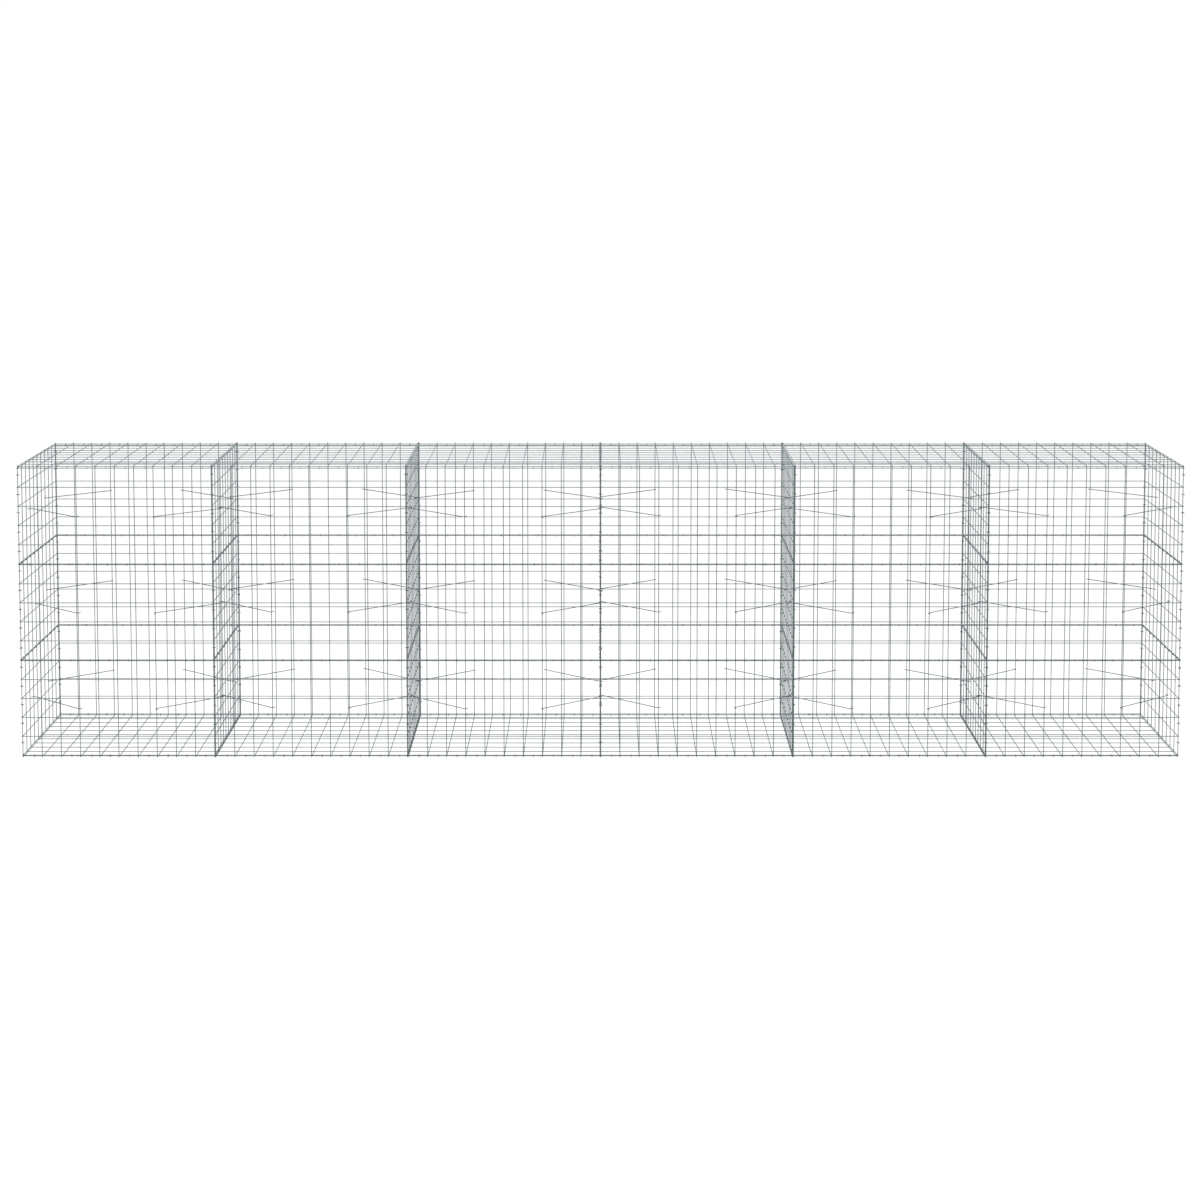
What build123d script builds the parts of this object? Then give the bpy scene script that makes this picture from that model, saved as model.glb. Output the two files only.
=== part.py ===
from build123d import *
from functools import cache
from itertools import pairwise
from math import asin, degrees, sqrt
import os

# Gabion wall: a row of box baskets of welded wire mesh, side by side, each with a hinged mesh lid.
# Millimetres. Origin on the ground in the middle of the row, +X along the row, -Y at the front, +Z up.

# Driving dimensions
BAYS = 6                # baskets in the row
WIRE = 4.0              # thickness of a mesh wire, drawn as a square bar
MESH = 100.0            # spacing of the wires, centre to centre
BASKET_LENGTH = 1000.0  # one basket along the row, between the middles of its outer wires
BASKET_DEPTH = 1000.0   # the same from front to back
PANEL_HEIGHT = 500.0    # one wall panel, between the middles of its lowest and highest wire
PANEL_ROWS = 3          # wall panels on top of each other
SIDE_STUB = 5.0         # wire ends that stand out past the corner uprights of the row
TOP_STUB = 10.0         # wire ends of the long walls that stand up above the cross walls, past the lids
CROSS_STUB = 3.0        # wire ends of the ends and dividers that stand on the base
TIE_WIRE = 4.0          # thickness of a corner tie
TIE_CELLS = 3           # cells from a corner to the upright that a tie hooks round
TIE_TAIL = 12.0         # bent end of a tie, from the middle of its upright

# Named clearances
SEAT = 0.3              # between wires that stand on, or lie beside, each other
LID_GAP = 5.0           # from a lid to the next lid and to the wire ends round it
HOOK_GAP = 0.3          # from a tie's hook to the upright inside it
TIE_GAP = 2.0           # in height, between the ties that meet on one upright

# Sizes that follow from them
cells_long = round(BASKET_LENGTH / MESH)
cells_deep = round(BASKET_DEPTH / MESH)
cells_high = round(PANEL_HEIGHT / MESH)
basket_pitch = BASKET_LENGTH + WIRE + SEAT
panel_pitch = PANEL_HEIGHT + WIRE + SEAT
mesh_thickness = 2 * WIRE
stack_height = (PANEL_ROWS - 1) * panel_pitch + PANEL_HEIGHT
rail_foot = mesh_thickness + SEAT + WIRE / 2
rail_top = rail_foot + stack_height
cross_rail_foot = rail_foot + CROSS_STUB
cross_wall_top = cross_rail_foot + stack_height + WIRE / 2
lid_underside = cross_wall_top + SEAT
stub_top = cross_wall_top + TOP_STUB
long_wall_weld = BASKET_DEPTH / 2 + WIRE / 2 + SEAT + WIRE
end_wall_weld = (BAYS - 1) / 2 * basket_pitch + BASKET_LENGTH / 2
lid_length = basket_pitch - LID_GAP - WIRE
lid_depth = 2 * (long_wall_weld - LID_GAP - WIRE / 2)
flush = WIRE / 2


def basket_centre(bay):
    """Middle of a basket along the row, counted from the left."""
    return (bay - (BAYS - 1) / 2) * basket_pitch


def square_wire(x_low, x_high, y_low, y_high, z_low):
    """A straight length of wire between two corners, one wire thick in Z."""
    corner = (Align.MIN, Align.MIN, Align.MIN)
    return Pos(x_low, y_low, z_low) * Box(x_high - x_low, y_high - y_low, WIRE, align=corner)


def hinge_wire(x_low, x_high, y):
    """The wire that a lid turns on: square above its centre line and round below it."""
    radius = WIRE / 2
    outline = Polyline((-radius, 0), (-radius, radius), (radius, radius), (radius, 0))
    outline += ThreePointArc((radius, 0), (0, -radius), (-radius, 0))
    section = Plane((x_low, y, -radius), x_dir=(0, 1, 0), z_dir=(1, 0, 0)) * make_face(outline)
    return extrude(section, amount=x_high - x_low)


@cache
def mesh_panel(width, height, columns, rows, ends=(flush, flush, flush, flush), hinged=False):
    """A flat welded panel: rails along X behind the weld plane z = 0, uprights along Y in front.

    The panel is centred in X and starts at its lowest rail, y = 0. The four ends are how far
    the wires run past the centre lines of the outer wires: below, above, left and right.
    A hinged panel turns on its last rail.
    """
    below, above, left, right = ends
    wires = []
    for column in range(columns + 1):
        x = -width / 2 + column * width / columns
        wires.append(square_wire(x - WIRE / 2, x + WIRE / 2, -below, height + above, 0))
    x_low, x_high = -width / 2 - left, width / 2 + right
    for row in range(rows + 1):
        y = row * height / rows
        if hinged and row == rows:
            wires.append(hinge_wire(x_low, x_high, y))
        else:
            wires.append(square_wire(x_low, x_high, y - WIRE / 2, y + WIRE / 2, -WIRE))
    return (Part() + wires).solid()


def upright_ends(row):
    """How far the uprights of a long wall run past the rails: to the ground and above the lids."""
    below = rail_foot if row == 0 else flush
    above = stub_top - rail_top if row == PANEL_ROWS - 1 else flush
    return below, above


def front_mesh(bay):
    """The stacked panels on the front of one basket, uprights outside."""
    left = flush + SIDE_STUB if bay == 0 else flush
    right = flush + SIDE_STUB if bay == BAYS - 1 else flush
    panels = []
    for row in range(PANEL_ROWS):
        ends = (*upright_ends(row), left, right)
        panel = mesh_panel(BASKET_LENGTH, PANEL_HEIGHT, cells_long, cells_high, ends)
        place = Pos(basket_centre(bay), -long_wall_weld, rail_foot + row * panel_pitch)
        panels.append(place * Rot(X=90) * panel)
    return panels


def back_mesh(bay):
    """The back is the front of the basket at the other end of the row, turned half round."""
    return [Rot(Z=180) * panel for panel in front_mesh(BAYS - 1 - bay)]


def cross_wall(weld_x, uprights_towards=1):
    """The stacked panels of an end or a divider. They stand on the base, between the long walls."""
    turn = Rot(Z=90 * uprights_towards) * Rot(X=90)
    panels = []
    for row in range(PANEL_ROWS):
        below = flush + CROSS_STUB if row == 0 else flush
        panel = mesh_panel(BASKET_DEPTH, PANEL_HEIGHT, cells_deep, cells_high, (below, flush, flush, flush))
        panels.append(Pos(weld_x, 0, cross_rail_foot + row * panel_pitch) * turn * panel)
    return panels


def base_mesh(bay):
    """The floor panel of one basket, cross wires on the ground and long wires on top."""
    panel = mesh_panel(BASKET_LENGTH, BASKET_DEPTH, cells_long, cells_deep)
    return [Pos(basket_centre(bay), BASKET_DEPTH / 2, WIRE) * Rot(X=180) * panel]


def lid_mesh(bay):
    """The lid of one basket, long wires underneath, lying on the cross walls. It turns on its back wire."""
    panel = mesh_panel(lid_length, lid_depth, cells_long, cells_deep, hinged=True)
    return [Pos(basket_centre(bay), -lid_depth / 2, lid_underside + WIRE) * panel]


def tie_leg(start, end):
    """One straight leg of a tie, long enough for a square corner with the next leg."""
    leg = end - start
    place = Plane((start + end) / 2, x_dir=leg.normalized(), z_dir=(0, 0, 1))
    return place * Box(leg.length + TIE_WIRE, TIE_WIRE, TIE_WIRE)


def corner_tie(start, end):
    """A straight tie across a corner in plan, from one upright to the next one counterclockwise.

    It passes inside the first upright and outside the second. Each end is bent round the far
    side of its upright, the first outwards and the second inwards.
    """
    reach = WIRE / sqrt(2) + HOOK_GAP + TIE_WIRE / 2
    span = end - start
    along = span.rotate(Axis.Z, -degrees(asin(2 * reach / span.length))).normalized()
    inwards = Vector(-along.Y, along.X)
    bends = [
        start - along * reach - inwards * TIE_TAIL,
        start - along * reach + inwards * reach,
        end + along * reach - inwards * reach,
        end + along * reach + inwards * TIE_TAIL,
    ]
    return (Part() + [tie_leg(one, other) for one, other in pairwise(bends)]).solid()


def cross_upright_x(bay, side):
    """Centre line of the uprights in the cross wall at the left (-1) or right (+1) of a basket."""
    at_row_end = bay == (0 if side < 0 else BAYS - 1)
    if at_row_end:
        return side * (end_wall_weld + WIRE / 2)
    return basket_centre(bay) + side * basket_pitch / 2 + WIRE / 2


def corner_ties(bay):
    """One tie in each corner of a basket, half way up every wall panel."""
    step = (TIE_WIRE + TIE_GAP) / 2
    along_row = BASKET_LENGTH * (0.5 - TIE_CELLS / cells_long)
    along_depth = BASKET_DEPTH * (0.5 - TIE_CELLS / cells_deep)
    long_y = long_wall_weld + WIRE / 2
    left_x, right_x = cross_upright_x(bay, -1), cross_upright_x(bay, 1)
    x = basket_centre(bay)
    uprights = [
        (left_x, -along_depth), (x - along_row, -long_y),
        (x + along_row, -long_y), (right_x, -along_depth),
        (right_x, along_depth), (x + along_row, long_y),
        (x - along_row, long_y), (left_x, along_depth),
    ]
    ties = []
    for row in range(PANEL_ROWS):
        z = rail_foot + row * panel_pitch + PANEL_HEIGHT / 2 + (step if bay % 2 else -step)
        for start, end in zip(uprights[::2], uprights[1::2]):
            ties.append(corner_tie(Vector(*start, z), Vector(*end, z)))
    return ties


nodes = {
    "end_mesh_left": cross_wall(-end_wall_weld, uprights_towards=-1),
    "end_mesh_right": cross_wall(end_wall_weld),
}
for bay in range(BAYS):
    number = bay + 1
    nodes[f"front_mesh_bay_{number}"] = front_mesh(bay)
    nodes[f"back_mesh_bay_{number}"] = back_mesh(bay)
    nodes[f"base_mesh_bay_{number}"] = base_mesh(bay)
    nodes[f"lid_mesh_bay_{number}"] = lid_mesh(bay)
    nodes[f"corner_ties_bay_{number}"] = corner_ties(bay)
    if number < BAYS:
        nodes[f"divider_mesh_{number}"] = cross_wall(basket_centre(bay) + basket_pitch / 2)

os.makedirs("parts", exist_ok=True)
for name, solids in nodes.items():
    export_step(Compound(solids), f"parts/{name}.step", write_pcurves=False)
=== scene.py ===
import itertools
import logging
import math
from collections.abc import Iterable
from dataclasses import dataclass
from enum import Enum

import bmesh
import bpy
from mathutils import Matrix, Vector


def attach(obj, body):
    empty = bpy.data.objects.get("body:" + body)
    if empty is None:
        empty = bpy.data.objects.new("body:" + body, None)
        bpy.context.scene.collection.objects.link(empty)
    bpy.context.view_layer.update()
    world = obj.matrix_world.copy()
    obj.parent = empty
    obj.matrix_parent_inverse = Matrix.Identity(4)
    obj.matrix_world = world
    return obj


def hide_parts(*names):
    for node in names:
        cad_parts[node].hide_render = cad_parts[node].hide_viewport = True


# Gabion wall: a row of empty welded mesh baskets with hinged lids, corner ties and ring clips.
# Metres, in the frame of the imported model: +X along the row, -Y at the front, +Z up.

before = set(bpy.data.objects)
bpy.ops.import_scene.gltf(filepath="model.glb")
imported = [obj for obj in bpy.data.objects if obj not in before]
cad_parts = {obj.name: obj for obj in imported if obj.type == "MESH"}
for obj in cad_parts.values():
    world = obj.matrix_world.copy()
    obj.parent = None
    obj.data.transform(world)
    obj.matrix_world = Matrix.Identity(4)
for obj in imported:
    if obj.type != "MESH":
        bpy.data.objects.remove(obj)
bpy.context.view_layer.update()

log = logging.getLogger("gabion_wall")
MM = 0.001
ROOT = "basket_row"
WHITE = "#ffffff"

Socket = bpy.types.NodeSocket
Triple = tuple[float, float, float]

# Node types that are used many times.
MATHS = "ShaderNodeMath"
XYZ = "ShaderNodeCombineXYZ"
# Socket numbers of a Mix node that mixes colours, because its socket names aren't unique.
MIX_FACTOR, MIX_FIRST, MIX_SECOND, MIX_RESULT = 0, 6, 7, 2


class Face(Enum):
    """A long face of the row, with the sign of its side on Y."""

    FRONT = -1
    BACK = 1


@dataclass(frozen=True)
class BasketSizes:
    """Sizes of the baskets in millimetres, the same as in the CAD source.

    Baskets and cross walls are counted from 0 at the left. The first and the last cross wall
    are the ends, and the others are the dividers.
    """

    bays: int = 6
    wire: float = 4.0
    mesh: float = 100.0
    cells_long: int = 10
    cells_deep: int = 10
    cells_high: int = 5
    panel_rows: int = 3
    side_stub: float = 5.0  # wire ends past the corner uprights of the row
    top_stub: float = 10.0  # wire ends of the long walls above the cross walls
    cross_stub: float = 3.0  # wire ends that the cross walls stand on
    tie_cells: int = 3  # cells from a corner to the upright that a tie hooks round
    tie_gap: float = 2.0  # in height, between the ties that meet on one upright
    seat: float = 0.3  # between wires that lie beside each other
    lid_gap: float = 5.0  # from a lid to the next lid and to the wire ends round it

    @property
    def flush(self) -> float:
        """How far a wire runs past a centre line that it ends flush with."""
        return self.wire / 2

    @property
    def flush_ends(self) -> tuple[float, float, float, float]:
        """The ends of a panel whose wires all end flush."""
        return (self.flush,) * 4

    @property
    def nest(self) -> float:
        """Between the centre lines of two wires that lie beside each other."""
        return self.wire + self.seat

    @property
    def length(self) -> float:
        """One basket along the row, between centre lines."""
        return self.cells_long * self.mesh

    @property
    def depth(self) -> float:
        """One basket from front to back, between centre lines."""
        return self.cells_deep * self.mesh

    @property
    def pitch(self) -> float:
        """From one basket to the next."""
        return self.length + self.nest

    @property
    def panel_height(self) -> float:
        """One wall panel between its lowest and highest rail."""
        return self.cells_high * self.mesh

    @property
    def panel_pitch(self) -> float:
        """From one wall panel to the panel above it."""
        return self.panel_height + self.nest

    @property
    def floor_wire_height(self) -> float:
        """Height of the base's long wires, which lie on its cross wires."""
        return self.wire * 1.5

    @property
    def rail_foot(self) -> float:
        """Height of the lowest rail of a long wall."""
        return 2 * self.wire + self.seat + self.wire / 2

    @property
    def stack_height(self) -> float:
        """From the lowest to the highest rail of a stack of wall panels."""
        return (self.panel_rows - 1) * self.panel_pitch + self.panel_height

    @property
    def rail_top(self) -> float:
        """Height of the highest rail of a long wall."""
        return self.rail_foot + self.stack_height

    @property
    def cross_rail_foot(self) -> float:
        """Height of the lowest rail of a cross wall."""
        return self.rail_foot + self.cross_stub

    @property
    def cross_wall_top(self) -> float:
        """Height of the tops of the cross walls."""
        return self.cross_rail_foot + self.stack_height + self.wire / 2

    @property
    def lid_underside(self) -> float:
        """Height of the underside of a lid."""
        return self.cross_wall_top + self.seat

    @property
    def stub_top(self) -> float:
        """Height of the wire ends of the long walls."""
        return self.cross_wall_top + self.top_stub

    @property
    def long_wall_weld(self) -> float:
        """Distance of a long wall's weld plane from the middle of the row."""
        return self.depth / 2 + self.wire / 2 + self.seat + self.wire

    @property
    def long_rail(self) -> float:
        """Distance of a long wall's rails from the middle of the row."""
        return self.long_wall_weld - self.wire / 2

    @property
    def long_upright(self) -> float:
        """Distance of a long wall's uprights from the middle of the row."""
        return self.long_wall_weld + self.wire / 2

    @property
    def end_wall_weld(self) -> float:
        """Distance of an end mesh's weld plane from the middle of the row."""
        return (self.bays - 1) / 2 * self.pitch + self.length / 2

    @property
    def lid_length(self) -> float:
        """A lid along the row, between centre lines."""
        return self.pitch - self.lid_gap - self.wire

    @property
    def lid_depth(self) -> float:
        """A lid from front to back, between centre lines."""
        return 2 * (self.long_rail - self.lid_gap)

    @property
    def lid_wire_height(self) -> float:
        """Height of the lid's long wires, which is the height of its hinge."""
        return self.lid_underside + self.wire / 2

    def centre(self, bay: int) -> float:
        """Middle of a basket along the row."""
        return (bay - (self.bays - 1) / 2) * self.pitch

    def boundary(self, number: int) -> float:
        """Weld plane of a cross wall along the row."""
        ends = {0: -self.end_wall_weld, self.bays: self.end_wall_weld}
        return ends.get(number, self.centre(number) - self.pitch / 2)

    def upright_side(self, number: int) -> int:
        """Side of a cross wall that its uprights lie on: outside at the ends, else the right."""
        return -1 if number == 0 else 1

    def cross_upright(self, number: int) -> float:
        """Centre line of a cross wall's uprights along the row."""
        return self.boundary(number) + self.upright_side(number) * self.wire / 2

    def cross_rail(self, number: int) -> float:
        """Centre line of a cross wall's rails along the row."""
        return self.boundary(number) - self.upright_side(number) * self.wire / 2


SIZES = BasketSizes()


def metres(millimetres: Iterable[float]) -> list[float]:
    """Turn sizes in millimetres into metres."""
    return [size * MM for size in millimetres]


def radians(degrees: Iterable[float]) -> list[float]:
    """Turn angles in degrees into radians."""
    return [math.radians(angle) for angle in degrees]


def linear(colour: str) -> tuple[float, float, float, float]:
    """Turn an sRGB hex colour into the linear colour that a shader socket takes.

    The numbers are those of the sRGB curve.

    Args:
        colour: six hex digits after a hash sign.

    Returns:
        Red, green, blue and an alpha of 1.
    """
    channels = []
    for start in (1, 3, 5):
        value = int(colour[start:start + 2], 16) / 255
        channels.append(value / 12.92 if value <= 0.04045 else ((value + 0.055) / 1.055) ** 2.4)
    return (*channels, 1.0)


def bare_tree(owner: bpy.types.Material | bpy.types.World) -> bpy.types.NodeTree:
    """Switch on the nodes of a material or world and clear them.

    Args:
        owner: the material or world.

    Returns:
        Its empty tree.
    """
    owner.use_nodes = True
    owner.node_tree.nodes.clear()
    return owner.node_tree


def add_node(tree: bpy.types.NodeTree, kind: str, inputs: dict | None = None,
             **settings: object) -> bpy.types.Node:
    """Add a node with its settings, socket values and links.

    Args:
        tree: the node tree that gets the node.
        kind: the node's type name.
        inputs: socket name or number to a value, to the socket that feeds it, or to a list of
            sockets that feed it.
        settings: properties of the node.

    Returns:
        The new node.
    """
    node = tree.nodes.new(kind)
    for name, value in settings.items():
        setattr(node, name, value)
    for key, given in (inputs or {}).items():
        for value in given if isinstance(given, list) else [given]:
            if isinstance(value, Socket):
                tree.links.new(value, node.inputs[key])
            else:
                node.inputs[key].default_value = value
    return node


def add_object(name: str, data: bpy.types.ID) -> bpy.types.Object:
    """Make an object at the origin and link it to the scene.

    Args:
        name: name of the object.
        data: its mesh, curve, lamp or camera.

    Returns:
        The new object.
    """
    thing = bpy.data.objects.new(name, data)
    bpy.context.scene.collection.objects.link(thing)
    return thing


@dataclass(frozen=True)
class ZincFinish:
    """A zinc coat on steel wire, dulled by weather, with the spangle of the cooled zinc.

    Weathering sets in over worn_range of the patch noise, and the roughness moves by
    gloss_spread over its gloss_range.
    """

    name: str
    zinc: str
    bright: str
    dull: str
    roughness: float
    spangle_mm: float
    patch_mm: float
    bump_mm: float
    metallic: float = 0.9
    patch_detail: float = 4.0
    patch_roughness: float = 0.6
    grain_detail: float = 2.0
    worn_range: tuple[float, float] = (0.48, 0.68)
    worn_share: float = 0.85
    gloss_range: tuple[float, float] = (0.3, 0.7)
    gloss_spread: tuple[float, float] = (-0.08, 0.12)
    bump_strength: float = 0.35
    bump_depth_mm: float = 0.1

    def material(self) -> bpy.types.Material:
        """Build the material on the piece's own coordinates.

        Returns:
            The material, ready for a material slot.
        """
        material = bpy.data.materials.new(self.name)
        tree = bare_tree(material)
        place = add_node(tree, "ShaderNodeTexCoord").outputs["Object"]
        spangle = add_node(tree, "ShaderNodeTexVoronoi", {
            "Vector": place, "Scale": 1 / (self.spangle_mm * MM)})
        patches = add_node(tree, "ShaderNodeTexNoise", {
            "Vector": place, "Scale": 1 / (self.patch_mm * MM),
            "Detail": self.patch_detail, "Roughness": self.patch_roughness})
        grain = add_node(tree, "ShaderNodeTexNoise", {
            "Vector": place, "Scale": 1 / (self.bump_mm * MM), "Detail": self.grain_detail})
        shade = add_node(tree, "ShaderNodeSeparateColor", {"Color": spangle.outputs["Color"]})
        crystals = add_node(tree, "ShaderNodeMix", {
            MIX_FACTOR: shade.outputs["Red"],
            MIX_FIRST: linear(self.zinc), MIX_SECOND: linear(self.bright)}, data_type="RGBA")
        worn = add_node(tree, "ShaderNodeMapRange", {
            "Value": patches.outputs["Fac"],
            "From Min": self.worn_range[0], "From Max": self.worn_range[1],
            "To Min": 0.0, "To Max": self.worn_share})
        coat = add_node(tree, "ShaderNodeMix", {
            MIX_FACTOR: worn.outputs["Result"], MIX_FIRST: crystals.outputs[MIX_RESULT],
            MIX_SECOND: linear(self.dull)}, data_type="RGBA")
        rough = add_node(tree, "ShaderNodeMapRange", {
            "Value": patches.outputs["Fac"],
            "From Min": self.gloss_range[0], "From Max": self.gloss_range[1],
            "To Min": self.roughness + self.gloss_spread[0],
            "To Max": self.roughness + self.gloss_spread[1]})
        bump = add_node(tree, "ShaderNodeBump", {
            "Height": grain.outputs["Fac"], "Strength": self.bump_strength,
            "Distance": self.bump_depth_mm * MM})
        surface = add_node(tree, "ShaderNodeBsdfPrincipled", {
            "Base Color": coat.outputs[MIX_RESULT], "Metallic": self.metallic,
            "Roughness": rough.outputs["Result"], "Normal": bump.outputs["Normal"]})
        add_node(tree, "ShaderNodeOutputMaterial", {"Surface": surface.outputs["BSDF"]})
        return material


# Drawn steel wire, welded and then dipped in zinc: dull mid grey with the cool cast of zinc, a
# faint spangle and darker weathered patches. The real spangle is about 3 mm wide; on all three
# kinds of wire it is drawn at 5 to 9 mm to show.
MESH_WIRE = ZincFinish("hot_dip_galvanised_mesh_wire", zinc="#6d787b", bright="#798487",
                       dull="#636f72", roughness=0.50, spangle_mm=9.0, patch_mm=60.0, bump_mm=2.5)
# Straightened tie wire from a coil, with a thin zinc coat from before it is bent: smoother and
# darker than the mesh.
TIE_WIRE = ZincFinish("galvanised_tie_wire", zinc="#505b5e", bright="#5c676a",
                      dull="#485356", roughness=0.44, spangle_mm=7.0, patch_mm=45.0, bump_mm=2.0)
# Ring clips of new zinc-aluminium coated wire, closed with a tool: a little brighter and
# smoother than the mesh.
RING_WIRE = ZincFinish("zinc_aluminium_ring_clip_wire", zinc="#889396", bright="#96a1a4",
                       dull="#7c878a", roughness=0.36, spangle_mm=5.0, patch_mm=25.0, bump_mm=1.5)


class NodeBuild:
    """A Geometry Nodes tree that makes one kind of piece, with named inputs."""

    SHARP_ANGLE = 64.0  # degrees, past which an edge stays sharp

    def __init__(self, name: str, inputs: dict[str, tuple[str, ...]]) -> None:
        """Make the tree with a geometry output, the named inputs and an input for the finish.

        Args:
            name: name of the tree.
            inputs: kind of value to the names of the inputs that take it.
        """
        self.tree = bpy.data.node_groups.new(name, "GeometryNodeTree")
        new_socket = self.tree.interface.new_socket
        new_socket(name="Geometry", in_out="OUTPUT", socket_type="NodeSocketGeometry")
        every = {"Geometry": ("Geometry",), **inputs, "Material": ("Material",)}
        for kind, labels in every.items():
            for label in labels:
                new_socket(name=label, in_out="INPUT", socket_type=f"NodeSocket{kind}")
        self.entry = add_node(self.tree, "NodeGroupInput")

    def value(self, name: str) -> Socket:
        """The socket that carries a named input."""
        return self.entry.outputs[name]

    def add(self, kind: str, inputs: dict | None = None, **settings: object) -> Socket:
        """Add a node to the tree, as add_node does, and return its first output."""
        return add_node(self.tree, kind, inputs, **settings).outputs[0]

    def wire(self, curve: Socket, diameter: Socket, facets: Socket) -> Socket:
        """Thicken a curve into a round wire with closed ends.

        Args:
            curve: the centre line.
            diameter: thickness of the wire.
            facets: sides of the wire.

        Returns:
            The socket with the wire's mesh.
        """
        radius = self.add(MATHS, {0: diameter, 1: 0.5}, operation="MULTIPLY")
        section = self.add("GeometryNodeCurvePrimitiveCircle", {
            "Resolution": facets, "Radius": radius})
        return self.add("GeometryNodeCurveToMesh", {
            "Curve": curve, "Profile Curve": section, "Fill Caps": True})

    def finish(self, shape: Socket) -> None:
        """End the tree: real geometry, smooth round faces with sharp cut ends, and the finish.

        Args:
            shape: the socket with the finished shape.
        """
        real = self.add("GeometryNodeRealizeInstances", {"Geometry": shape})
        smooth = self.add("GeometryNodeSetShadeSmooth", {0: real, "Shade Smooth": True})
        angle = self.add("GeometryNodeInputMeshEdgeAngle")
        steep = self.add("FunctionNodeCompare", {0: angle, 1: math.radians(self.SHARP_ANGLE)},
                         data_type="FLOAT", operation="GREATER_THAN")
        crisp = self.add("GeometryNodeSetShadeSmooth", {
            0: smooth, "Selection": steep, "Shade Smooth": False}, domain="EDGE")
        dressed = self.add("GeometryNodeSetMaterial", {
            "Geometry": crisp, "Material": self.value("Material")})
        add_node(self.tree, "NodeGroupOutput", {"Geometry": dressed})

    def run(self, values: dict[str, object],
            host_data: bpy.types.Curve | None = None) -> bpy.types.Mesh:
        """Evaluate the tree once and return a plain mesh.

        Args:
            values: input name to value.
            host_data: the curve that the tree works on, or None.

        Returns:
            The resulting mesh.
        """
        host = add_object("host", host_data or bpy.data.meshes.new("host"))
        modifier = host.modifiers.new("nodes", "NODES")
        modifier.node_group = self.tree
        for item in self.tree.interface.items_tree:
            if item.in_out == "INPUT" and item.name in values:
                modifier[item.identifier] = values[item.name]
        graph = bpy.context.evaluated_depsgraph_get()
        mesh = bpy.data.meshes.new_from_object(host.evaluated_get(graph), depsgraph=graph)
        bpy.data.objects.remove(host)
        return mesh


def joined(name: str, meshes: list[bpy.types.Mesh],
           material: bpy.types.Material) -> bpy.types.Object:
    """Join meshes into one piece at the origin.

    Args:
        name: name of the piece.
        meshes: meshes with their place in their vertices; they are used up.
        material: finish of the whole piece.

    Returns:
        The piece, linked to the scene.
    """
    build = bmesh.new()
    for mesh in meshes:
        build.from_mesh(mesh)
        bpy.data.meshes.remove(mesh)
    whole = bpy.data.meshes.new(name)
    build.to_mesh(whole)
    build.free()
    whole.materials.append(material)
    return add_object(name, whole)


@dataclass(frozen=True)
class PanelLayout:
    """One welded panel: rails behind the weld plane, uprights in front.

    Sizes are in millimetres and the turn is in degrees. The ends are how far the wires run past
    the outer centre lines: below, above, left and right.
    """

    width: float
    height: float
    columns: int
    rows: int
    ends: tuple[float, float, float, float]
    place: Triple
    turn: Triple


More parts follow.
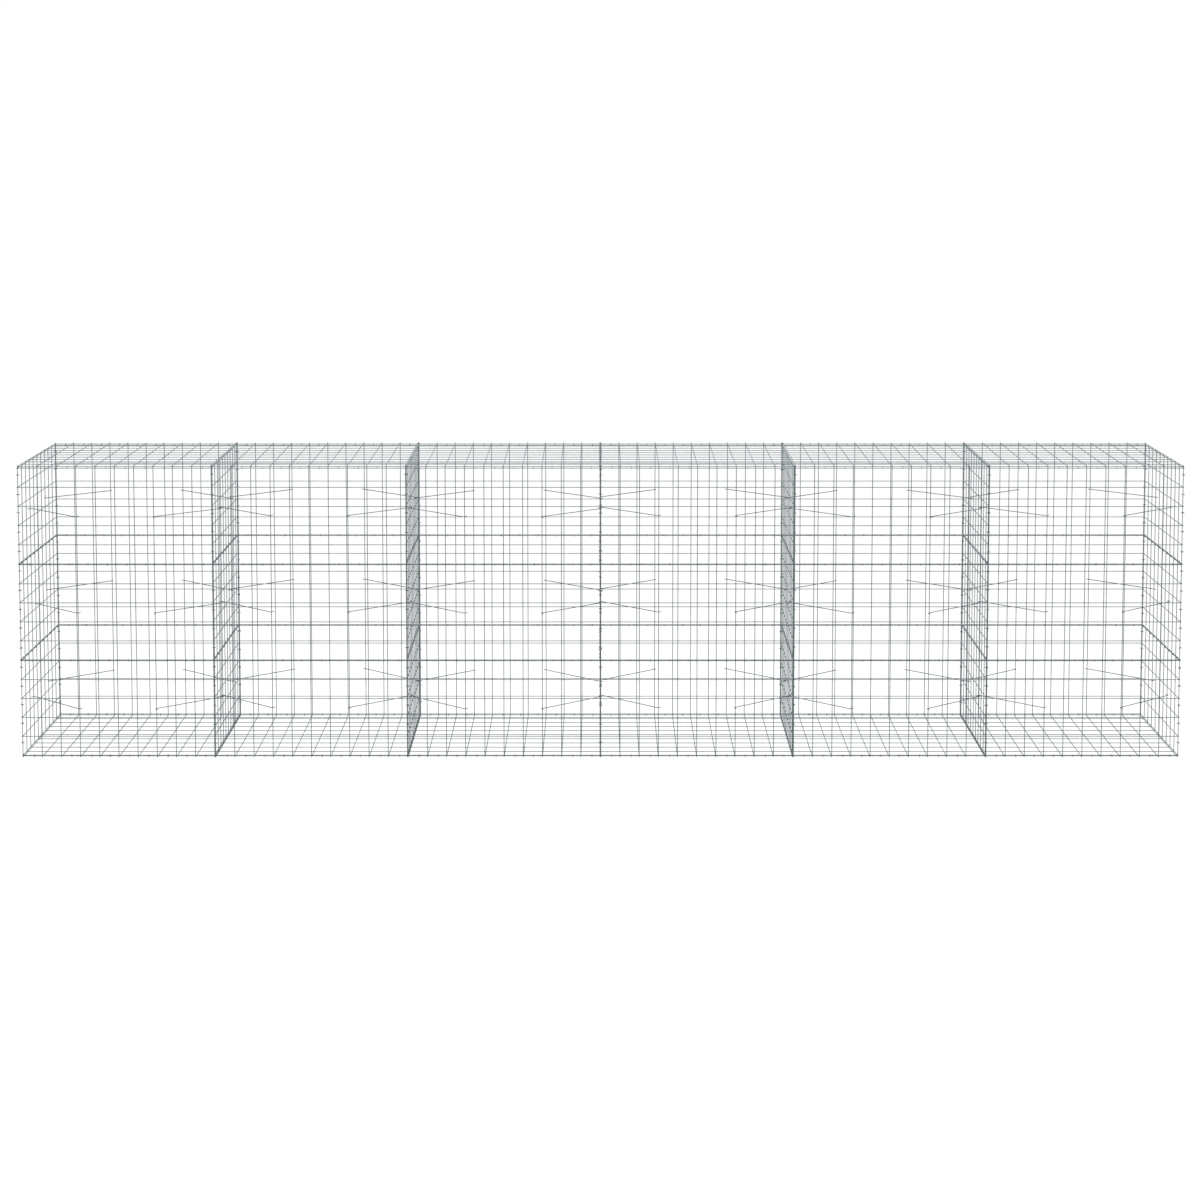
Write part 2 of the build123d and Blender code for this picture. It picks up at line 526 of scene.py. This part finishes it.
@dataclass
class WeldedMesh:
    """Makes welded panels of round wire, with a small lump of zinc at every weld."""

    sizes: BasketSizes
    material: bpy.types.Material
    facets: int = 8
    sink: float = 0.4  # how deep the wires are pressed into each other, in millimetres
    lump: Triple = (4.5, 4.5, 3.4)  # size of a lump, in millimetres
    lump_segments: int = 8
    lump_rings: int = 4

    def __post_init__(self) -> None:
        """Build the tree for one panel: two layers of wires, and lumps where they cross."""
        self.build = build = NodeBuild("welded_mesh_panel", {
            "Float": ("Width", "Height", "Wire", "Below", "Above", "Left", "Right", "Sink"),
            "Int": ("Columns", "Rows", "Facets"),
            "Vector": ("Weld", "Place", "Turn"),
        })
        add, value = build.add, build.value
        spacing = add(MATHS, {0: value("Wire"), 1: value("Sink")}, operation="SUBTRACT")
        layer = add(MATHS, {0: spacing, 1: 0.5}, operation="MULTIPLY")
        right = add(MATHS, {0: value("Width"), 1: 0.5}, operation="MULTIPLY")
        left = add(MATHS, {0: right, 1: -1.0}, operation="MULTIPLY")
        across = add(MATHS, {0: value("Columns"), 1: 1.0}, operation="ADD")
        upwards = add(MATHS, {0: value("Rows"), 1: 1.0}, operation="ADD")
        foot = add(MATHS, {0: value("Below"), 1: -1.0}, operation="MULTIPLY")
        head = add(MATHS, {0: value("Height"), 1: value("Above")}, operation="ADD")
        column = add(MATHS, {0: value("Width"), 1: value("Columns")}, operation="DIVIDE")
        uprights = self.wires(
            build, start=add(XYZ, {"Y": foot}), end=add(XYZ, {"Y": head}),
            first=add(XYZ, {"X": left, "Z": layer}), step=add(XYZ, {"X": column}), count=across)
        tip = add(MATHS, {0: left, 1: value("Left")}, operation="SUBTRACT")
        tail = add(MATHS, {0: right, 1: value("Right")}, operation="ADD")
        under = add(MATHS, {0: layer, 1: -1.0}, operation="MULTIPLY")
        row = add(MATHS, {0: value("Height"), 1: value("Rows")}, operation="DIVIDE")
        rails = self.wires(
            build, start=add(XYZ, {"X": tip}), end=add(XYZ, {"X": tail}),
            first=add(XYZ, {"Z": under}), step=add(XYZ, {"Y": row}), count=upwards)
        crossings = add("GeometryNodeMeshGrid", {
            "Size X": value("Width"), "Size Y": value("Height"),
            "Vertices X": across, "Vertices Y": upwards})
        middle = add(MATHS, {0: value("Height"), 1: 0.5}, operation="MULTIPLY")
        raised = add("GeometryNodeTransform", {
            "Geometry": crossings, "Translation": add(XYZ, {"Y": middle})})
        # The lump is a ball with a diameter of 1, which Weld scales to its size.
        ball = add("GeometryNodeMeshUVSphere", {
            "Segments": self.lump_segments, "Rings": self.lump_rings, "Radius": 0.5})
        welds = add("GeometryNodeInstanceOnPoints", {
            "Points": raised, "Instance": ball, "Scale": value("Weld")})
        parts = add("GeometryNodeJoinGeometry", {"Geometry": [uprights, rails, welds]})
        build.finish(add("GeometryNodeTransform", {
            "Geometry": parts, "Translation": value("Place"), "Rotation": value("Turn")}))

    @staticmethod
    def wires(build: NodeBuild, start: Socket, end: Socket, first: Socket, step: Socket,
              count: Socket) -> Socket:
        """Lay equal straight wires side by side.

        Args:
            build: the tree.
            start: start of one wire.
            end: end of one wire.
            first: place of the first wire.
            step: from each wire to the next.
            count: number of wires.

        Returns:
            The socket with the wires as instances.
        """
        line = build.add("GeometryNodeCurvePrimitiveLine", {"Start": start, "End": end})
        wire = build.wire(line, build.value("Wire"), build.value("Facets"))
        row = build.add("GeometryNodeMeshLine", {
            "Count": count, "Start Location": first, "Offset": step})
        return build.add("GeometryNodeInstanceOnPoints", {"Points": row, "Instance": wire})

    def panel(self, layout: PanelLayout) -> bpy.types.Mesh:
        """Make the mesh of one panel in its place.

        Args:
            layout: the panel.

        Returns:
            Its mesh.
        """
        below, above, left, right = metres(layout.ends)
        return self.build.run({
            "Width": layout.width * MM, "Height": layout.height * MM,
            "Columns": layout.columns, "Rows": layout.rows, "Wire": self.sizes.wire * MM,
            "Below": below, "Above": above, "Left": left, "Right": right,
            "Facets": self.facets, "Sink": self.sink * MM, "Weld": metres(self.lump),
            "Place": metres(layout.place), "Turn": radians(layout.turn),
            "Material": self.material,
        })

    def piece(self, node: str, body: str, layouts: list[PanelLayout]) -> None:
        """Make the piece that stands for one CAD node.

        Args:
            node: the CAD node that it replaces.
            body: the body that it rides on.
            layouts: its panels.
        """
        piece = joined(f"{node}_wires", [self.panel(layout) for layout in layouts], self.material)
        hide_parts(node)
        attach(piece, body)
        log.info("%s: %d panels, %d faces", piece.name, len(layouts), len(piece.data.polygons))


@dataclass(frozen=True)
class LongWall:
    """The front or back wall of one basket: panels on top of each other, uprights outside."""

    sizes: BasketSizes
    face: Face
    bay: int

    def layouts(self) -> list[PanelLayout]:
        """Lay out the wall's panels.

        Returns:
            The panels, from the ground up.
        """
        size = self.sizes
        ends = [size.flush, size.flush]
        if self.bay == 0:
            ends[0] += size.side_stub
        if self.bay == size.bays - 1:
            ends[1] += size.side_stub
        if self.face is Face.BACK:
            ends.reverse()
        turn_about = 0.0 if self.face is Face.FRONT else 180.0
        panels = []
        for row in range(size.panel_rows):
            below = size.rail_foot if row == 0 else size.flush
            above = size.stub_top - size.rail_top if row == size.panel_rows - 1 else size.flush
            panels.append(PanelLayout(
                size.length, size.panel_height, size.cells_long, size.cells_high,
                (below, above, *ends),
                place=(size.centre(self.bay), self.face.value * size.long_wall_weld,
                       size.rail_foot + row * size.panel_pitch),
                turn=(90.0, 0.0, turn_about)))
        return panels

    def make(self, mesh: WeldedMesh) -> None:
        """Make the piece for this wall."""
        mesh.piece(f"{self.face.name.lower()}_mesh_bay_{self.bay + 1}", ROOT, self.layouts())


@dataclass(frozen=True)
class CrossWall:
    """An end mesh or a divider, which stands on the base between the long walls."""

    sizes: BasketSizes
    number: int

    @property
    def node(self) -> str:
        """Name of the CAD node."""
        ends = {0: "end_mesh_left", self.sizes.bays: "end_mesh_right"}
        return ends.get(self.number, f"divider_mesh_{self.number}")

    def layouts(self) -> list[PanelLayout]:
        """Lay out the wall's panels.

        Returns:
            The panels, from the base up.
        """
        size = self.sizes
        place = size.boundary(self.number)
        turn = (90.0, 0.0, 90.0 * size.upright_side(self.number))
        panels = []
        for row in range(size.panel_rows):
            below = size.flush + size.cross_stub if row == 0 else size.flush
            panels.append(PanelLayout(
                size.depth, size.panel_height, size.cells_deep, size.cells_high,
                (below, size.flush, size.flush, size.flush),
                place=(place, 0.0, size.cross_rail_foot + row * size.panel_pitch), turn=turn))
        return panels

    def make(self, mesh: WeldedMesh) -> None:
        """Make the piece for this wall."""
        mesh.piece(self.node, ROOT, self.layouts())


@dataclass(frozen=True)
class Floor:
    """The base mesh of one basket, cross wires on the ground and long wires on top."""

    sizes: BasketSizes
    bay: int

    def make(self, mesh: WeldedMesh) -> None:
        """Make the piece for this base.

        Args:
            mesh: what makes the panel.
        """
        size = self.sizes
        layout = PanelLayout(
            size.length, size.depth, size.cells_long, size.cells_deep, size.flush_ends,
            place=(size.centre(self.bay), size.depth / 2, size.wire), turn=(180.0, 0.0, 0.0))
        mesh.piece(f"base_mesh_bay_{self.bay + 1}", ROOT, [layout])


@dataclass(frozen=True)
class Lid:
    """The hinged lid of one basket, long wires underneath."""

    sizes: BasketSizes
    bay: int

    def make(self, mesh: WeldedMesh) -> None:
        """Make the piece for this lid.

        Args:
            mesh: what makes the panel.
        """
        size = self.sizes
        layout = PanelLayout(
            size.lid_length, size.lid_depth, size.cells_long, size.cells_deep, size.flush_ends,
            place=(size.centre(self.bay), -size.lid_depth / 2, size.lid_underside + size.wire),
            turn=(0.0, 0.0, 0.0))
        mesh.piece(f"lid_mesh_bay_{self.bay + 1}", f"lid_{self.bay + 1}", [layout])


@dataclass
class CornerTies:
    """Straight tie wires across the corners of the baskets, hooked round the uprights.

    Sizes are in millimetres.
    """

    sizes: BasketSizes
    material: bpy.types.Material
    diameter: float = 4.0
    hook_gap: float = 0.4  # from a hook to the upright inside it
    tail: float = 12.5  # bent end, from the middle of its upright
    tail_rise: float = 3.5  # how far a tail leaves the level of its tie
    bend_radius: float = 4.0
    bend_steps: int = 4
    facets: int = 8

    def __post_init__(self) -> None:
        """Build the tree that bends, thickens and repeats the ties of one basket."""
        self.build = build = NodeBuild("corner_ties", {
            "Float": ("Bend Radius", "Wire", "Row Pitch"),
            "Int": ("Bend Steps", "Facets", "Rows"),
        })
        add, value = build.add, build.value
        bent = add("GeometryNodeFilletCurve", {
            "Curve": value("Geometry"), "Count": value("Bend Steps"),
            "Radius": value("Bend Radius"), "Limit Radius": True}, mode="POLY")
        wires = build.wire(bent, value("Wire"), value("Facets"))
        rows = add("GeometryNodeMeshLine", {
            "Count": value("Rows"), "Offset": add(XYZ, {"Z": value("Row Pitch")})})
        build.finish(add("GeometryNodeInstanceOnPoints", {"Points": rows, "Instance": wires}))

    def path(self, start: Vector, end: Vector) -> list[Vector]:
        """Corners of one tie's centre line, from the end of one hook to the end of the other.

        The tie passes inside the first upright and outside the second. Its ends are bent round
        the far sides, the first outwards and the second inwards.

        Args:
            start: centre of the first upright.
            end: centre of the next upright counterclockwise, seen from above.

        Returns:
            Four points, in millimetres.
        """
        reach = self.sizes.wire / 2 + self.hook_gap + self.diameter / 2
        span = end - start
        lean = math.asin(2 * reach / span.length)
        along = Matrix.Rotation(-lean, 3, "Z") @ span.normalized()
        inwards = Vector((-along.y, along.x, 0.0))
        rise = Vector((0.0, 0.0, self.tail_rise))
        return [
            start - along * reach - inwards * self.tail - rise,
            start - along * reach + inwards * reach,
            end + along * reach - inwards * reach,
            end + along * reach + inwards * self.tail + rise,
        ]

    def basket_paths(self, bay: int) -> bpy.types.Curve:
        """Draw the four ties of a basket's lowest row.

        Args:
            bay: the basket.

        Returns:
            A curve with one spline for each tie.
        """
        size = self.sizes
        # Ties of neighbouring baskets meet on one upright, so every second basket's are higher.
        step = (self.diameter + size.tie_gap) / 2
        z = size.rail_foot + size.panel_height / 2 + (step if bay % 2 else -step)
        along_row = size.length * (0.5 - size.tie_cells / size.cells_long)
        along_depth = size.depth * (0.5 - size.tie_cells / size.cells_deep)
        left_x, right_x = size.cross_upright(bay), size.cross_upright(bay + 1)
        x, long_y = size.centre(bay), size.long_upright
        uprights = [
            (left_x, -along_depth), (x - along_row, -long_y),
            (x + along_row, -long_y), (right_x, -along_depth),
            (right_x, along_depth), (x + along_row, long_y),
            (x - along_row, long_y), (left_x, along_depth),
        ]
        curve = bpy.data.curves.new("tie_paths", "CURVE")
        curve.dimensions = "3D"
        for start, end in zip(uprights[::2], uprights[1::2]):
            points = self.path(Vector((*start, z)), Vector((*end, z)))
            spline = curve.splines.new("POLY")
            spline.points.add(len(points) - 1)
            for target, point in zip(spline.points, points):
                target.co = (*(point * MM), 1.0)
        return curve

    def make(self, bay: int) -> None:
        """Make the piece for one basket's ties.

        Args:
            bay: the basket.
        """
        size = self.sizes
        curve = self.basket_paths(bay)
        mesh = self.build.run({
            "Bend Radius": self.bend_radius * MM, "Bend Steps": self.bend_steps,
            "Wire": self.diameter * MM, "Facets": self.facets,
            "Rows": size.panel_rows, "Row Pitch": size.panel_pitch * MM,
            "Material": self.material}, host_data=curve)
        piece = joined(f"corner_tie_wires_bay_{bay + 1}", [mesh], self.material)
        bpy.data.curves.remove(curve)
        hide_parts(f"corner_ties_bay_{bay + 1}")
        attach(piece, ROOT)
        log.info("%s: %d faces", piece.name, len(piece.data.polygons))


class RingAxis(Enum):
    """The wires that a ring clip goes round: turn of the ring, in degrees."""

    ALONG_ROW = (0.0, 90.0, 0.0)
    ALONG_DEPTH = (90.0, 0.0, 0.0)
    UPRIGHT = (0.0, 0.0, 0.0)


@dataclass(frozen=True)
class RingRun:
    """A run of ring clips, one to a cell, in millimetres.

    A run takes its seed and the number after it. The start of a ring is in degrees.
    """

    first: Triple
    step: Triple
    count: int
    inner: float
    axis: RingAxis
    seed: int
    turns: float = 1.2
    start: float = 0.0


@dataclass
class RingClips:
    """Rings of thin wire that hold the panels together, closed with a tool and a little askew."""

    sizes: BasketSizes
    material: bpy.types.Material
    wire: float = 3.0
    drift: float = 3.5  # how far a clip may lie from its place, in millimetres
    skew: float = 9.0  # how far it may be turned, in degrees
    points_per_turn: int = 11
    facets: int = 5

    def __post_init__(self) -> None:
        """Build the tree for one run: a ring, its places, and how it lies askew there."""
        self.build = build = NodeBuild("ring_clips", {
            "Vector": ("First", "Step", "Turn", "Drift", "Skew"),
            "Float": ("Ring Radius", "Wire", "Turns", "Start"),
            "Int": ("Count", "Points Per Turn", "Facets", "Seed"),
        })
        add, value = build.add, build.value
        # A ring of over one turn rises by its wire in each turn. An open hook lies flat.
        full = add(MATHS, {0: value("Turns")}, operation="FLOOR")
        closed = add(MATHS, {0: full, 1: 1.0}, operation="MINIMUM")
        lapped = add(MATHS, {0: closed, 1: value("Turns")}, operation="MULTIPLY")
        rise = add(MATHS, {0: lapped, 1: value("Wire")}, operation="MULTIPLY")
        ring = add("GeometryNodeCurveSpiral", {
            "Resolution": value("Points Per Turn"), "Rotations": value("Turns"),
            "Start Radius": value("Ring Radius"), "End Radius": value("Ring Radius"),
            "Height": rise})
        lowered = add(MATHS, {0: rise, 1: -0.5}, operation="MULTIPLY")
        centred = add("GeometryNodeTransform", {
            "Geometry": ring, "Translation": add(XYZ, {"Z": lowered}),
            "Rotation": add(XYZ, {"Z": value("Start")})})
        wire = build.wire(centred, value("Wire"), value("Facets"))
        turned = add("GeometryNodeTransform", {"Geometry": wire, "Rotation": value("Turn")})
        row = add("GeometryNodeMeshLine", {
            "Count": value("Count"), "Start Location": value("First"), "Offset": value("Step")})
        drift = self.scatter(build, "Drift", value("Seed"))
        spread = add("GeometryNodeSetPosition", {"Geometry": row, "Offset": drift})
        next_seed = add(MATHS, {0: value("Seed"), 1: 1.0}, operation="ADD")
        build.finish(add("GeometryNodeInstanceOnPoints", {
            "Points": spread, "Instance": turned,
            "Rotation": self.scatter(build, "Skew", next_seed)}))

    @staticmethod
    def scatter(build: NodeBuild, limit: str, seed: Socket) -> Socket:
        """Draw a random vector for each point, between minus and plus a named input.

        Args:
            build: the tree.
            limit: name of the input.
            seed: seed of the draw.

        Returns:
            The socket with the vectors.
        """
        high = build.value(limit)
        low = build.add("ShaderNodeVectorMath", {0: high, "Scale": -1.0}, operation="SCALE")
        return build.add("FunctionNodeRandomValue", {0: low, 1: high, "Seed": seed},
                         data_type="FLOAT_VECTOR")

    def clips(self, run: RingRun) -> bpy.types.Mesh:
        """Make the mesh of one run of clips. They drift along the run and skew across it.

        Args:
            run: the run.

        Returns:
            Its mesh.
        """
        length = math.hypot(*run.step)
        along = [abs(part) / length for part in run.step]
        return self.build.run({
            "First": metres(run.first), "Step": metres(run.step), "Count": run.count,
            "Ring Radius": (run.inner + self.wire / 2) * MM, "Wire": self.wire * MM,
            "Turns": run.turns, "Start": math.radians(run.start),
            "Points Per Turn": self.points_per_turn, "Facets": self.facets,
            "Turn": radians(run.axis.value),
            "Drift": metres(self.drift * share for share in along),
            "Skew": radians(self.skew * (1.0 - share) for share in along),
            "Seed": run.seed, "Material": self.material,
        })

    def piece(self, name: str, body: str, runs: list[RingRun]) -> None:
        """Make one piece from several runs.

        Args:
            name: name of the piece.
            body: the body that it rides on.
            runs: its runs of clips.
        """
        piece = joined(name, [self.clips(run) for run in runs], self.material)
        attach(piece, body)
        log.info("%s: %d clips, %d faces", name, sum(run.count for run in runs),
                 len(piece.data.polygons))


@dataclass
class ClipLayout:
    """Where the ring clips sit: one to a cell along every joint between panels.

    Sizes are in millimetres, angles in degrees, and places in a cell are shares of it.
    """

    sizes: BasketSizes
    along_cell: float = 0.56
    up_cell: float = 0.66
    slack: float = 0.2  # from the wires to the ring round them
    hook_turns: float = 0.78
    hook_start: float = 18.0
    first_seed: int = 100
    seeds_per_run: int = 2

    def __post_init__(self) -> None:
        """Start the seeds, of which each run takes the next."""
        self.seeds = itertools.count(self.first_seed, self.seeds_per_run)

    def round_wires(self, *centres: tuple[float, float]) -> Triple:
        """The ring that goes round two or more wires.

        Args:
            centres: centres of the outermost wires in the plane of the ring; the first two are
                furthest apart.

        Returns:
            The ring's centre, two coordinates, and its inner radius.
        """
        (a, b), (c, d) = centres[:2]
        middle = ((a + c) / 2, (b + d) / 2)
        reach = max(math.dist(middle, centre) for centre in centres)
        return (*middle, reach + self.sizes.wire / 2 + self.slack)

    def along_row(self, bay: int, face: Face, ring: Triple, **shape: float) -> RingRun:
        """A run along a long edge of one basket, round wires that run along the row.

        Args:
            bay: the basket.
            face: the face of the row that the edge is on.
            ring: distance from the middle of the row, height and inner radius.
            shape: turns and start of the rings, where they are open.

        Returns:
            The run.
        """
        size = self.sizes
        depth, height, inner = ring
        left = size.centre(bay) - size.length / 2
        first = (left + self.along_cell * size.mesh, face.value * depth, height)
        return RingRun(first, (size.mesh, 0.0, 0.0), size.cells_long, inner,
                       RingAxis.ALONG_ROW, next(self.seeds), **shape)

    def panel_joints(self, face: Face) -> list[RingRun]:
        """Between the panels of a long wall, and between its lowest panel and the base.

        Args:
            face: the face of the row that the wall is on.

        Returns:
            The runs.
        """
        size = self.sizes
        rail = size.long_rail
        depth, height, inner = self.round_wires(
            (rail, size.rail_foot), (size.depth / 2, size.floor_wire_height))
        # The rings at the base have no slack, so that they stay above the ground.
        base = (depth, height, inner - self.slack)
        runs = []
        for bay in range(size.bays):
            runs.append(self.along_row(bay, face, base))
            for row in range(1, size.panel_rows):
                above = size.rail_foot + row * size.panel_pitch
                ring = self.round_wires((rail, above), (rail, above - size.nest))
                runs.append(self.along_row(bay, face, ring))
        return runs

    def divider_joints(self) -> list[RingRun]:
        """Between the panels of the cross walls.

        Returns:
            The runs.
        """
        size = self.sizes
        front = -size.depth / 2 + self.along_cell * size.mesh
        runs = []
        for number in range(size.bays + 1):
            rail = size.cross_rail(number)
            for row in range(1, size.panel_rows):
                above = size.cross_rail_foot + row * size.panel_pitch
                _, height, inner = self.round_wires((rail, above), (rail, above - size.nest))
                runs.append(RingRun((rail, front, height), (0.0, size.mesh, 0.0), size.cells_deep,
                                    inner, RingAxis.ALONG_DEPTH, next(self.seeds)))
        return runs

    def upright_joints(self, face: Face) -> list[RingRun]:
        """Where the cross walls meet a long wall.

        Args:
            face: the face of the row that the long wall is on.

        Returns:
            The runs.
        """
        size = self.sizes
        runs = []
        for number in range(size.bays + 1):
            cross = (size.cross_upright(number), size.depth / 2)
            # A divider's ring goes round the outer uprights of both its baskets.
            spread = 0.0 if number in (0, size.bays) else size.nest / 2
            x, depth, inner = self.round_wires(
                cross, (size.boundary(number) - spread, size.long_upright),
                (size.boundary(number) + spread, size.long_upright))
            for row in range(size.panel_rows):
                height = size.rail_foot + row * size.panel_pitch + self.up_cell * size.mesh
                runs.append(RingRun((x, face.value * depth, height), (0.0, 0.0, size.mesh),
                                    size.cells_high, inner, RingAxis.UPRIGHT, next(self.seeds)))
        return runs

    def lid_rings(self, bay: int, face: Face) -> RingRun:
        """Along a long edge of a lid. At the back they are its hinge, at the front open hooks.

        Args:
            bay: the basket.
            face: the face of the row that the edge is on.

        Returns:
            The run.
        """
        size = self.sizes
        ring = self.round_wires(
            (size.long_rail, size.rail_top), (size.lid_depth / 2, size.lid_wire_height))
        if face is Face.BACK:
            return self.along_row(bay, face, ring)
        return self.along_row(bay, face, ring, turns=self.hook_turns, start=self.hook_start)


def seen_rays(tree: bpy.types.NodeTree) -> Socket:
    """Tell the rays that see the background from those that light the object.

    Args:
        tree: the tree that gets the nodes.

    Returns:
        The socket with 1 for a ray that sees it, straight, mirrored or through glass, and else 0.
    """
    ray = add_node(tree, "ShaderNodeLightPath")
    seen = ray.outputs["Is Camera Ray"]
    for kind in ("Is Glossy Ray", "Is Transmission Ray"):
        seen = add_node(tree, MATHS, {0: seen, 1: ray.outputs[kind]},
                        operation="MAXIMUM").outputs[0]
    return seen


@dataclass(frozen=True)
class BackgroundPaper:
    """White background paper, evenly lit, that keeps a soft shadow of the object.

    It lights the object as a pale sheet. Where it is seen it is a darker sheet, which takes the
    shadow, and a glow that brings it to white.
    """

    name: str = "white_background_paper"
    pale: str = "#d8d8d8"
    shaded: str = "#7c7c7c"
    glow: float = 0.89

    def material(self) -> bpy.types.Material:
        """Build the material.

        Returns:
            The material, ready for a material slot.
        """
        material = bpy.data.materials.new(self.name)
        tree = bare_tree(material)
        pale = add_node(tree, "ShaderNodeBsdfDiffuse", {"Color": linear(self.pale)})
        sheet = add_node(tree, "ShaderNodeBsdfDiffuse", {"Color": linear(self.shaded)})
        glow = add_node(tree, "ShaderNodeEmission", {
            "Color": linear(WHITE), "Strength": self.glow})
        white = add_node(tree, "ShaderNodeAddShader", {0: sheet.outputs[0], 1: glow.outputs[0]})
        both = add_node(tree, "ShaderNodeMixShader", {
            0: seen_rays(tree), 1: pale.outputs[0], 2: white.outputs[0]})
        add_node(tree, "ShaderNodeOutputMaterial", {"Surface": both.outputs[0]})
        return material


@dataclass(frozen=True)
class Softbox:
    """One soft lamp: its place and the length and width of its face in metres, and its watts."""

    name: str
    place: Triple
    sides: tuple[float, float]
    power: float


@dataclass(frozen=True)
class Studio:
    """The photograph's view: plain white floor and background, soft light and the camera.

    Metres; the lens and its sensor are in millimetres, and the tilt is in degrees.
    """

    camera_at: Triple = (-0.0021, -14.7913, 3.3317)
    camera_tilt: float = 84.498
    lens: float = 83.611
    sensor: float = 36.0
    lift: float = -0.18  # vertical shift, small enough to keep open lids in the frame
    far_clip: float = 200.0
    floor_side: float = 120.0
    floor_drop: float = 0.0005
    surround_light: float = 0.62
    surround_seen: float = 1.0
    aim: Triple = (0.0, 0.0, 0.8)
    softboxes: tuple[Softbox, ...] = (
        Softbox("top_softbox", (0.0, -0.4, 3.0), (7.0, 1.4), 110.0),
        Softbox("key_softbox", (-5.0, -7.0, 7.5), (5.0, 5.0), 90.0),
        Softbox("fill_softbox", (6.0, -5.0, 5.0), (6.0, 6.0), 45.0),
    )

    def floor(self) -> None:
        """Lay the floor just under the wires."""
        half = self.floor_side / 2
        mesh = bpy.data.meshes.new("floor")
        corners = [(-half, -half, 0.0), (half, -half, 0.0), (half, half, 0.0), (-half, half, 0.0)]
        mesh.from_pydata(corners, [], [(0, 1, 2, 3)])
        mesh.materials.append(BackgroundPaper().material())
        floor = add_object("floor", mesh)
        floor.location.z = -self.floor_drop

    def sky(self) -> None:
        """Set up an even pale surround that is white wherever it is seen or mirrored."""
        world = bpy.data.worlds.new("surround")
        tree = bare_tree(world)
        strength = add_node(tree, "ShaderNodeMapRange", {
            "Value": seen_rays(tree), "To Min": self.surround_light, "To Max": self.surround_seen})
        surround = add_node(tree, "ShaderNodeBackground", {
            "Color": linear(WHITE), "Strength": strength.outputs["Result"]})
        add_node(tree, "ShaderNodeOutputWorld", {"Surface": surround.outputs[0]})
        bpy.context.scene.world = world

    def lamp(self, softbox: Softbox) -> None:
        """Hang one soft lamp that looks at the middle of the row.

        Args:
            softbox: the lamp.
        """
        light = bpy.data.lights.new(softbox.name, "AREA")
        light.shape = "RECTANGLE"
        light.size, light.size_y = softbox.sides
        light.energy = softbox.power
        lamp = add_object(softbox.name, light)
        lamp.location = softbox.place
        towards = Vector(self.aim) - Vector(softbox.place)
        lamp.rotation_euler = towards.to_track_quat("-Z", "Y").to_euler()

    def camera(self) -> None:
        """Set up the camera where the photograph was taken from."""
        data = bpy.data.cameras.new("camera")
        data.sensor_width = self.sensor
        data.lens = self.lens
        data.shift_y = self.lift
        data.clip_end = self.far_clip
        camera = add_object("camera", data)
        camera.location = self.camera_at
        camera.rotation_euler = (math.radians(self.camera_tilt), 0.0, 0.0)
        bpy.context.scene.camera = camera

    def make(self) -> None:
        """Set the whole stage."""
        self.floor()
        self.sky()
        for softbox in self.softboxes:
            self.lamp(softbox)
        self.camera()
        bpy.context.scene.view_settings.view_transform = "Standard"


def main() -> None:
    """Build the row of baskets, then the stage."""
    logging.basicConfig(level=logging.INFO, format="%(name)s: %(message)s")
    mesh = WeldedMesh(SIZES, MESH_WIRE.material())
    for bay in range(SIZES.bays):
        for face in Face:
            LongWall(SIZES, face, bay).make(mesh)
        Floor(SIZES, bay).make(mesh)
        Lid(SIZES, bay).make(mesh)
    for number in range(SIZES.bays + 1):
        CrossWall(SIZES, number).make(mesh)
    ties = CornerTies(SIZES, TIE_WIRE.material())
    for bay in range(SIZES.bays):
        ties.make(bay)
    rings = RingClips(SIZES, RING_WIRE.material())
    places = ClipLayout(SIZES)
    for face in Face:
        name = face.name.lower()
        rings.piece(f"{name}_joint_clips", ROOT, places.panel_joints(face))
        rings.piece(f"{name}_upright_clips", ROOT, places.upright_joints(face))
    rings.piece("divider_joint_clips", ROOT, places.divider_joints())
    for bay in range(SIZES.bays):
        number = bay + 1
        rings.piece(f"hinge_rings_bay_{number}", ROOT, [places.lid_rings(bay, Face.BACK)])
        rings.piece(f"lid_hooks_bay_{number}", f"lid_{number}", [places.lid_rings(bay, Face.FRONT)])
    Studio().make()


if __name__ == "__main__":
    main()
